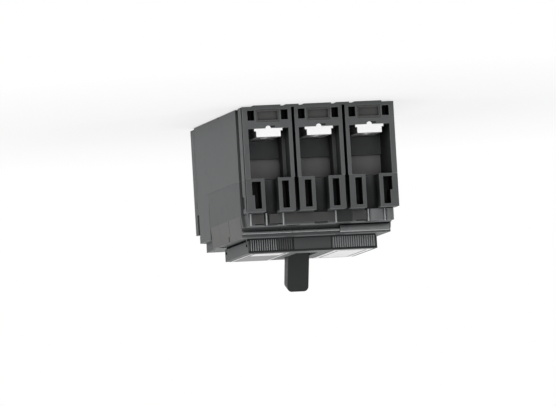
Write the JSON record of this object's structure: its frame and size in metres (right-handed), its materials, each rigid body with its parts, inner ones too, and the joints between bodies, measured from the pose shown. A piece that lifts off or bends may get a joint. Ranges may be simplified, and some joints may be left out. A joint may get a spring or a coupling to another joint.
{
  "type": "molded case circuit breaker",
  "caption": "Molded case circuit breaker with a toggle, hinged accessory lids, barriered terminal pockets at both ends and its switching and trip mechanism inside.",
  "frame": {"origin": "middle of the mounting plane, under the case's centre", "axes": "+Z out of the panel towards the toggle, +Y from the line end to the load end, +X across the poles"},
  "size_m": [0.081, 0.137, 0.0934],
  "materials": {
    "case_plastic": "moulded, fine matt grain",
    "cover_plastic": "moulded, fine matt grain",
    "nose_plastic": "moulded, fine matt grain",
    "toggle_plastic": "moulded, satin",
    "label_grey": "bare printed-label stock, matt",
    "label_pale": "bare printed-label stock, matt",
    "tinned_copper": "tin plated",
    "contact_silver": "silver alloy",
    "carrier_plastic": "moulded, dull",
    "zinc_steel": "zinc plated",
    "ground_steel": "ground",
    "spring_steel": "drawn wire",
    "plate_steel": "plated sheet",
    "vent_fibre": "vulcanised fibre",
    "copper_braid": "woven copper",
    "bimetal": "rolled strip",
    "shaft_resin": "moulded thermoset"
  },
  "bodies": {
    "case": {"base_case": "case_plastic", "main_cover": "cover_plastic", "load_cover": "cover_plastic", "toggle_escutcheon": "nose_plastic", "cover_screws": "zinc_steel", "terminal_nuts": "zinc_steel", "line_nut_carriers": "carrier_plastic", "load_nut_carriers": "carrier_plastic", "line_terminal_1": "tinned_copper", "line_terminal_2": "tinned_copper", "line_terminal_3": "tinned_copper", "load_terminal_1": "tinned_copper", "load_terminal_2": "tinned_copper", "load_terminal_3": "tinned_copper", "fixed_contacts": "contact_silver", "vent_baffles": "vent_fibre", "arc_chute_1": "plate_steel", "arc_chute_2": "plate_steel", "arc_chute_3": "plate_steel", "bimetal_1": "bimetal", "bimetal_2": "bimetal", "bimetal_3": "bimetal", "magnet_yoke_1": "plate_steel", "magnet_yoke_2": "plate_steel", "magnet_yoke_3": "plate_steel", "side_frame_right": "zinc_steel", "side_frame_left": "zinc_steel", "mechanism_pins": "ground_steel", "braid_1": "copper_braid", "braid_2": "copper_braid", "braid_3": "copper_braid", "button_spring": "spring_steel"},
    "toggle": {"handle_yoke": "zinc_steel", "toggle_handle": "toggle_plastic", "main_springs": "spring_steel"},
    "switch_shaft": {"contact_shaft": "shaft_resin", "crank": "zinc_steel", "arm_pins": "ground_steel", "moving_arm_1": "tinned_copper", "moving_arm_2": "tinned_copper", "moving_arm_3": "tinned_copper", "moving_contacts": "contact_silver", "contact_springs": "spring_steel"},
    "lower_links": {"lower_links": "zinc_steel"},
    "upper_links": {"upper_links": "zinc_steel"},
    "cradle": {"cradle": "zinc_steel"},
    "latch": {"latch_plate": "zinc_steel"},
    "trip_bar": {"trip_bar": "shaft_resin"},
    "trip_button": {"trip_button": "toggle_plastic"},
    "armature_1": {"armature_1": "plate_steel"},
    "armature_2": {"armature_2": "plate_steel"},
    "armature_3": {"armature_3": "plate_steel"},
    "left_lid": {"left_lid": "nose_plastic", "left_label": "label_grey"},
    "right_lid": {"right_lid": "nose_plastic", "right_label": "label_pale"}
  },
  "joints": [
    {"name": "toggle_swing", "type": "hinge", "parent": "case", "child": "toggle", "pos_m": [0, -0.0056, 0.046], "axis": [1, 0, 0], "range_deg": [0, 41], "deforming": ["main_springs"]},
    {"name": "shaft_turn", "type": "hinge", "parent": "case", "child": "switch_shaft", "pos_m": [0, 0.01, 0.0176], "axis": [1, 0, 0], "range_deg": [0, 26], "deforming": ["braid_1", "braid_2", "braid_3"]},
    {"name": "lower_link_turn", "type": "hinge", "parent": "switch_shaft", "child": "lower_links", "pos_m": [0, 0.00525, 0.02583], "axis": [1, 0, 0], "range_deg": [-53.2, 0]},
    {"name": "cradle_trip", "type": "hinge", "parent": "case", "child": "cradle", "pos_m": [0, -0.009, 0.05], "axis": [1, 0, 0], "range_deg": [0, 9]},
    {"name": "upper_link_turn", "type": "hinge", "parent": "cradle", "child": "upper_links", "pos_m": [0, 0.006, 0.049], "axis": [1, 0, 0], "range_deg": [0, 17]},
    {"name": "latch_turn", "type": "hinge", "parent": "case", "child": "latch", "pos_m": [0, 0.0182, 0.037], "axis": [1, 0, 0], "range_deg": [-9, 0]},
    {"name": "trip_bar_turn", "type": "hinge", "parent": "case", "child": "trip_bar", "pos_m": [0, 0.026, 0.033], "axis": [1, 0, 0], "range_deg": [0, 12]},
    {"name": "button_press", "type": "slide", "parent": "case", "child": "trip_button", "axis": [0, 0, -1], "range_m": [0, 0.001], "stiffness_N_per_m": 60, "deforming": ["button_spring"]},
    {"name": "left_lid_open", "type": "hinge", "parent": "case", "child": "left_lid", "pos_m": [0.0334, 0, 0.0692], "axis": [0, 1, 0], "range_deg": [0, 90]},
    {"name": "right_lid_open", "type": "hinge", "parent": "case", "child": "right_lid", "pos_m": [-0.0334, 0, 0.0692], "axis": [0, -1, 0], "range_deg": [0, 90]},
    {"name": "armature_1_pull", "type": "hinge", "parent": "case", "child": "armature_1", "pos_m": [0, 0.0364, 0.0186], "axis": [1, 0, 0], "range_deg": [0, 4], "stiffness_Nm_per_rad": 0.01},
    {"name": "armature_2_pull", "type": "hinge", "parent": "case", "child": "armature_2", "pos_m": [0, 0.0364, 0.0186], "axis": [1, 0, 0], "range_deg": [0, 4], "stiffness_Nm_per_rad": 0.01},
    {"name": "armature_3_pull", "type": "hinge", "parent": "case", "child": "armature_3", "pos_m": [0, 0.0364, 0.0186], "axis": [1, 0, 0], "range_deg": [0, 4], "stiffness_Nm_per_rad": 0.01}
  ],
  "couplings": [
    {"joint": "shaft_turn", "follows": "toggle_swing", "ratio": 0.63415},
    {"joint": "lower_link_turn", "follows": "toggle_swing", "ratio": -1.2976},
    {"joint": "upper_link_turn", "follows": "toggle_swing", "ratio": 0.41463},
    {"joint": "button_press", "follows": "cradle_trip", "m_per_rad": 0.0063662},
    {"joint": "trip_bar_turn", "follows": "cradle_trip", "ratio": 1.3333},
    {"joint": "latch_turn", "follows": "cradle_trip", "ratio": -1}
  ]
}
